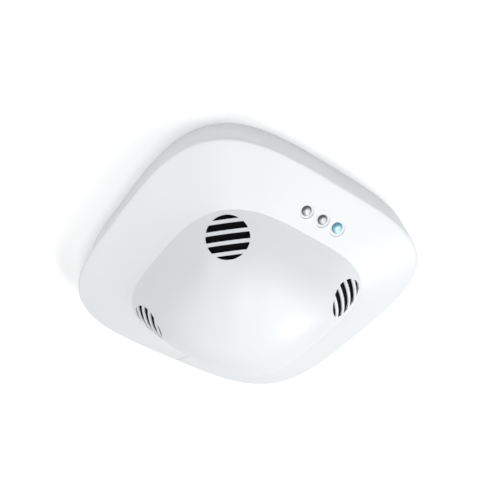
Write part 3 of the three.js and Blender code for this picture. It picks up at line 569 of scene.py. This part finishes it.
def lens(name, centre, rim, transmission, painted_glow):
    """Glossy see-through plastic with painted light: a pale painted highlight near the middle of its face,
    and painted shade that grows deeper towards the rim. Any glow is painted light too and takes these
    colours.
    """
    nodes = Nodes(name)
    # The face's own box runs from 0 to 1, and the pale spot of the painted highlight sits a little to its
    # +X side.
    across = nodes.add("ShaderNodeVectorMath", operation="MULTIPLY_ADD")
    across.inputs[1].default_value = (2, 2, 0)
    across.inputs[2].default_value = (-1.25, -1, 0)
    nodes.link(nodes.add("ShaderNodeTexCoord").outputs["Generated"], across.inputs[0])
    reach = nodes.add("ShaderNodeVectorMath", operation="LENGTH")
    nodes.link(across.outputs[0], reach.inputs[0])
    edge = nodes.add("ShaderNodeMapRange", interpolation_type="SMOOTHSTEP")
    edge.inputs["From Min"].default_value = 0.35
    nodes.link(reach.outputs["Value"], edge.inputs["Value"])
    # Painted highlight in the middle, painted shade at the rim.
    colour = nodes.blend(edge.outputs["Result"], centre, rim)
    nodes.link(colour, nodes.shader.inputs["Base Color"])
    # The emission takes the same painted highlight and shade, so a glowing face glows brightest at the
    # painted highlight.
    nodes.link(colour, nodes.shader.inputs["Emission Color"])
    nodes.shader.inputs["Emission Strength"].default_value = painted_glow
    nodes.shader.inputs["Transmission Weight"].default_value = transmission
    nodes.link(nodes.between(nodes.noise(500), 0.04, 0.1), nodes.shader.inputs["Roughness"])
    return nodes.material


def clear_lens():
    # Clear lenses: painted highlight in the middle, painted shade at the rim, no glow.
    return lens("clear lens", (0.93, 0.95, 0.96), (0.15, 0.155, 0.16), 0.25, 0)


def blue_lens():
    # The button's own blue, with a painted glow on top of the painted highlight and shade.
    return lens("blue lens", (0.45, 0.7, 0.75), (0.1, 0.27, 0.33), 0, 0.25)


def circuit_board():
    nodes = Nodes("circuit board")
    cells = nodes.add("ShaderNodeTexVoronoi", feature="DISTANCE_TO_EDGE")
    cells.inputs["Scale"].default_value = 230
    nodes.link(nodes.place, cells.inputs["Vector"])
    tracks = nodes.add("ShaderNodeMath", operation="GREATER_THAN")
    tracks.inputs[1].default_value = 0.08
    nodes.link(cells.outputs["Distance"], tracks.inputs[0])
    green = nodes.blend(nodes.noise(120), (0.012, 0.13, 0.055), (0.02, 0.17, 0.075))
    nodes.link(nodes.blend(tracks.outputs[0], (0.03, 0.26, 0.12), green),
               nodes.shader.inputs["Base Color"])
    nodes.link(nodes.between(nodes.noise(300), 0.25, 0.4), nodes.shader.inputs["Roughness"])
    nodes.bump(tracks.outputs[0], 0.2, 0.02 * MM)
    return nodes.material


def insect_screen():
    """A black sheet etched with half-millimetre holes."""
    nodes = Nodes("insect screen")
    holes = nodes.add("ShaderNodeTexVoronoi")
    holes.inputs["Scale"].default_value = 1800
    holes.inputs["Randomness"].default_value = 0.25
    nodes.link(nodes.place, holes.inputs["Vector"])
    nodes.link(nodes.blend(holes.outputs["Distance"], (0.0005, 0.0005, 0.0006), (0.006, 0.006, 0.0065)),
               nodes.shader.inputs["Base Color"])
    nodes.link(nodes.between(nodes.noise(900), 0.7, 0.9), nodes.shader.inputs["Roughness"])
    nodes.shader.inputs["Specular IOR Level"].default_value = 0.15
    nodes.bump(holes.outputs["Distance"], 0.4, 0.05 * MM)
    return nodes.material


SLOT_MATERIALS = {
    "cover_white": white_plastic,
    "inner_plastic": lambda: plastic("inner white", (0.82, 0.82, 0.805), 0.5, 1400, 0.02, 0.02),
    "black_plastic": lambda: plastic("black", (0.012, 0.012, 0.014), 0.5, 1500, 0.03, 0.2),
    "black_rubber": lambda: plastic("rubber", (0.015, 0.015, 0.015), 0.8, 900, 0.05, 0.25),
    "grey_plastic": lambda: plastic("dark grey", (0.06, 0.063, 0.068), 0.5, 1400, 0.03, 0.1),
    "screen_mesh": insect_screen,
    "clear_lens": clear_lens,
    "blue_lens": blue_lens,
    "steel": lambda: metal("steel", (0.58, 0.59, 0.61)),
    "circuit_board": circuit_board,
    "brass": lambda: metal("brass", (0.75, 0.52, 0.22), 0.25),
    "copper": lambda: metal("copper", (0.6, 0.25, 0.12), 0.35, (1, 1, 25)),
    "terminal_grey": lambda: plastic("terminal grey", (0.5, 0.51, 0.48), 0.45, 1400, 0.02, 0.03),
    "release_orange": lambda: plastic("orange", (0.75, 0.2, 0.03), 0.4, 1400, 0.02, 0.05),
    "cell_wrap": lambda: plastic("cell sleeve", (0.04, 0.16, 0.42), 0.25, 600, 0.02, 0.08),
    "capacitor_sleeve": lambda: plastic("capacitor sleeve", (0.02, 0.04, 0.12), 0.25, 600, 0.02, 0.1),
    "film_box": lambda: plastic("film box", (0.6, 0.42, 0.04), 0.35, 900, 0.02, 0.05),
    "varistor_blue": lambda: plastic("varistor", (0.03, 0.14, 0.42), 0.3, 700, 0.05, 0.08),
    "fuse_glass": lambda: metal("fuse", (0.62, 0.64, 0.66), 0.15),
    "led_clear": clear_lens,
    "emitter_blue": lambda: plastic("emitter", (0.08, 0.16, 0.4), 0.12, 500, 0.01, 0.05),
    "diode_dark": lambda: plastic("diode", (0.01, 0.01, 0.014), 0.1, 500, 0.01, 0.05),
}


def smoothing_group():
    """Geometry nodes that shade smooth across every edge flatter than the smoothing angle."""
    group = bpy.data.node_groups.new("smooth curves", "GeometryNodeTree")
    group.interface.new_socket("Geometry", in_out="INPUT", socket_type="NodeSocketGeometry")
    group.interface.new_socket("Geometry", in_out="OUTPUT", socket_type="NodeSocketGeometry")
    angle = group.nodes.new("GeometryNodeInputMeshEdgeAngle")
    flat = group.nodes.new("FunctionNodeCompare")
    flat.operation = "LESS_THAN"
    flat.inputs[1].default_value = math.radians(SMOOTH_ANGLE)
    group.links.new(angle.outputs["Unsigned Angle"], flat.inputs[0])
    edges = group.nodes.new("GeometryNodeSetShadeSmooth")
    edges.domain = "EDGE"
    group.links.new(group.nodes.new("NodeGroupInput").outputs[0], edges.inputs["Geometry"])
    group.links.new(flat.outputs[0], edges.inputs["Shade Smooth"])
    faces = group.nodes.new("GeometryNodeSetShadeSmooth")
    group.links.new(edges.outputs["Geometry"], faces.inputs["Geometry"])
    group.links.new(faces.outputs["Geometry"], group.nodes.new("NodeGroupOutput").inputs[0])
    return group


def dress_cad_nodes():
    """Gives every CAD node its slot's material, smooths its curves and softens its edges."""
    smoothing = smoothing_group()
    for row in frame["record"]["subparts"]:
        node, slot = row["node"], row["material_slot"]
        obj = frame["nodes"][node]
        material = once(slot, SLOT_MATERIALS[slot])
        obj.data.materials.clear()
        obj.data.materials.append(material)
        if node == "cover_shell":
            continue
        weld = obj.modifiers.new("weld", "WELD")
        weld.merge_threshold = WELD_DISTANCE
        bevel = obj.modifiers.new("bevel", "BEVEL")
        bevel.width = BEVEL_WIDTH
        bevel.segments = 2
        bevel.limit_method = "ANGLE"
        bevel.angle_limit = math.radians(BEVEL_ANGLE)
        obj.modifiers.new("smooth", "NODES").node_group = smoothing


# ---------------------------------------------------------------- camera, lights, stage

CAMERA_AZIMUTH = math.radians(-36.27)
CAMERA_ELEVATION = math.radians(-47.61)
CAMERA_ROLL = math.radians(-1.10)
CAMERA_DISTANCE = 0.30146
CAMERA_OFFSET = (1.99 * MM, 3.13 * MM)
CAMERA_LENS = 50.9


def build_camera():
    a, e, roll = CAMERA_AZIMUTH, CAMERA_ELEVATION, CAMERA_ROLL
    back = Vector((math.sin(a) * math.cos(e), -math.cos(a) * math.cos(e), math.sin(e)))
    level = (-back).cross(Vector((0, 0, 1))).normalized()
    upright = level.cross(-back)
    right = level * math.cos(roll) + upright * math.sin(roll)
    up = upright * math.cos(roll) - level * math.sin(roll)
    data = bpy.data.cameras.new("camera")
    data.sensor_width = 36
    data.lens = CAMERA_LENS
    data.clip_start = 0.01
    data.clip_end = 50
    camera = bpy.data.objects.new("camera", data)
    scene.collection.objects.link(camera)
    place = back * CAMERA_DISTANCE + right * CAMERA_OFFSET[0] + up * CAMERA_OFFSET[1]
    camera.matrix_world = Matrix.Translation(place) @ Matrix((right, up, back)).transposed().to_4x4()
    scene.camera = camera


def area_light(name, place, target, size, power):
    data = bpy.data.lights.new(name, "AREA")
    data.shape = "DISK"
    data.size = size
    data.energy = power
    lamp = bpy.data.objects.new(name, data)
    scene.collection.objects.link(lamp)
    lamp.location = place
    lamp.rotation_mode = "QUATERNION"
    lamp.rotation_quaternion = (Vector(target) - Vector(place)).to_track_quat("-Z", "Y")


# Soft lamps round the detector: azimuth from +X, angle below the ceiling, power in watts.
LAMPS = [
    (-45, 52, 3.0),
    (0, 42, 5.4),
    (180, 44, 2.8),
    (135, 44, 1.8),
    (-90, 75, 1.4),
    (0, 90, 2.2),
]
LAMP_DISTANCE = 1.2
LAMP_SIZE = 0.45
UPPER_LAMP = {"place": (0, 0.01, 1.1), "size": 0.9, "power": 3}
SURROUNDINGS_COLOUR = (0.96, 0.98, 1, 1)
SURROUNDINGS_STRENGTH = 0.2
BACKDROP_COLOUR = (0.82, 0.83, 0.845, 1)  # what the camera sees past the ceiling
CEILING_HALF = 4
CEILING_LIFT = 0.05 * MM                  # above the base's own flat face
CEILING_GLOW = 0.2


def build_lights():
    target = Vector((0, 0, -0.02))
    for azimuth, below, power in LAMPS:
        a, b = math.radians(azimuth), math.radians(below)
        direction = Vector((math.cos(a) * math.cos(b), math.sin(a) * math.cos(b), -math.sin(b)))
        area_light("lamp", target + direction * LAMP_DISTANCE, target, LAMP_SIZE, power)
    area_light("upper lamp", UPPER_LAMP["place"], target, UPPER_LAMP["size"], UPPER_LAMP["power"])
    world = bpy.data.worlds.new("world")
    world.use_nodes = True
    tree = world.node_tree
    surroundings = tree.nodes["Background"]
    surroundings.inputs["Color"].default_value = SURROUNDINGS_COLOUR
    surroundings.inputs["Strength"].default_value = SURROUNDINGS_STRENGTH
    backdrop = tree.nodes.new("ShaderNodeBackground")
    backdrop.inputs["Color"].default_value = BACKDROP_COLOUR
    path = tree.nodes.new("ShaderNodeLightPath")
    mix = tree.nodes.new("ShaderNodeMixShader")
    tree.links.new(path.outputs["Is Camera Ray"], mix.inputs[0])
    tree.links.new(surroundings.outputs[0], mix.inputs[1])
    tree.links.new(backdrop.outputs[0], mix.inputs[2])
    tree.links.new(mix.outputs[0], tree.nodes["World Output"].inputs["Surface"])
    scene.world = world


def build_ceiling():
    """The plain pale ceiling, seen from below only, so the detector's back shows from above."""
    bm = bmesh.new()
    half = CEILING_HALF
    corners = [(-half, -half), (half, -half), (half, half), (-half, half)]
    bm.faces.new([bm.verts.new((x, y, CEILING_LIFT)) for x, y in reversed(corners)])
    mesh = bpy.data.meshes.new("ceiling")
    bm.to_mesh(mesh)
    bm.free()
    ceiling = new_object("ceiling", mesh)
    nodes = Nodes("ceiling paint")
    nodes.link(nodes.blend(nodes.noise(3), (0.9, 0.9, 0.9), (0.94, 0.94, 0.94)),
               nodes.shader.inputs["Base Color"])
    nodes.shader.inputs["Roughness"].default_value = 0.9
    nodes.shader.inputs["Emission Color"].default_value = (1, 1, 1, 1)
    seen = nodes.add("ShaderNodeLightPath").outputs["Is Camera Ray"]
    nodes.link(nodes.between(seen, 0, CEILING_GLOW), nodes.shader.inputs["Emission Strength"])
    clear = nodes.add("ShaderNodeBsdfTransparent")
    side = nodes.add("ShaderNodeNewGeometry")
    mix = nodes.add("ShaderNodeMixShader")
    nodes.link(side.outputs["Backfacing"], mix.inputs[0])
    nodes.link(nodes.shader.outputs[0], mix.inputs[1])
    nodes.link(clear.outputs[0], mix.inputs[2])
    nodes.link(mix.outputs[0], nodes.tree.nodes["Material Output"].inputs["Surface"])
    mesh.materials.append(nodes.material)
    ceiling.visible_shadow = False


scene.view_settings.view_transform = "Standard"
build_camera()
build_lights()
build_ceiling()
dress_cad_nodes()
build_cover()
build_windows()
